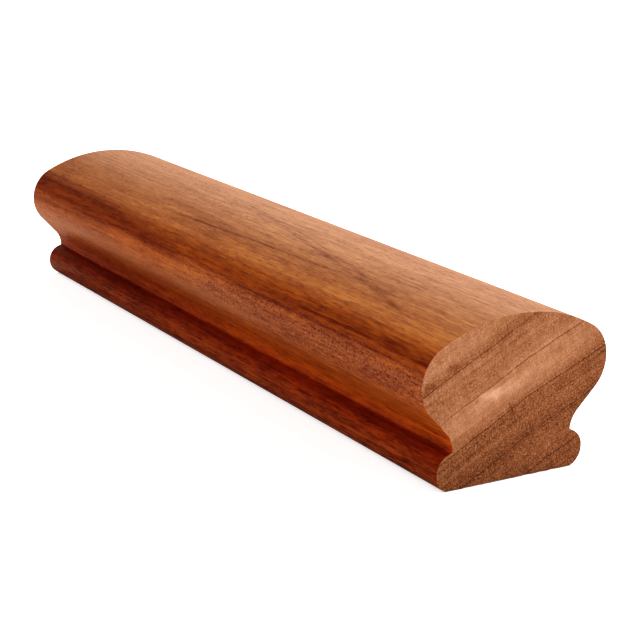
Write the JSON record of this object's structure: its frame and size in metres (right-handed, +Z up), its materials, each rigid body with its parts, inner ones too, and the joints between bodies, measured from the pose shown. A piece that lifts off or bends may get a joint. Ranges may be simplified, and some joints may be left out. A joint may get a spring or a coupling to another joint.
{
  "type": "grab rail",
  "caption": "Straight length of moulded hardwood grab rail: crowned top, finger cove along each side, narrow neck, round-nosed foot and square sawn ends.",
  "frame": {"origin": "middle of the flat underside, halfway between the two sawn ends", "axes": "+X along the rail, +Y across its width, +Z up from the underside to the crown"},
  "size_m": [0.2286, 0.0572, 0.0425],
  "materials": {
    "oiled_hardwood": "satin red-brown mahogany-type timber, planed and lightly oiled along the grain, bare sawn end grain"
  },
  "bodies": {
    "root": {"rail": "oiled_hardwood"}
  },
  "joints": []
}
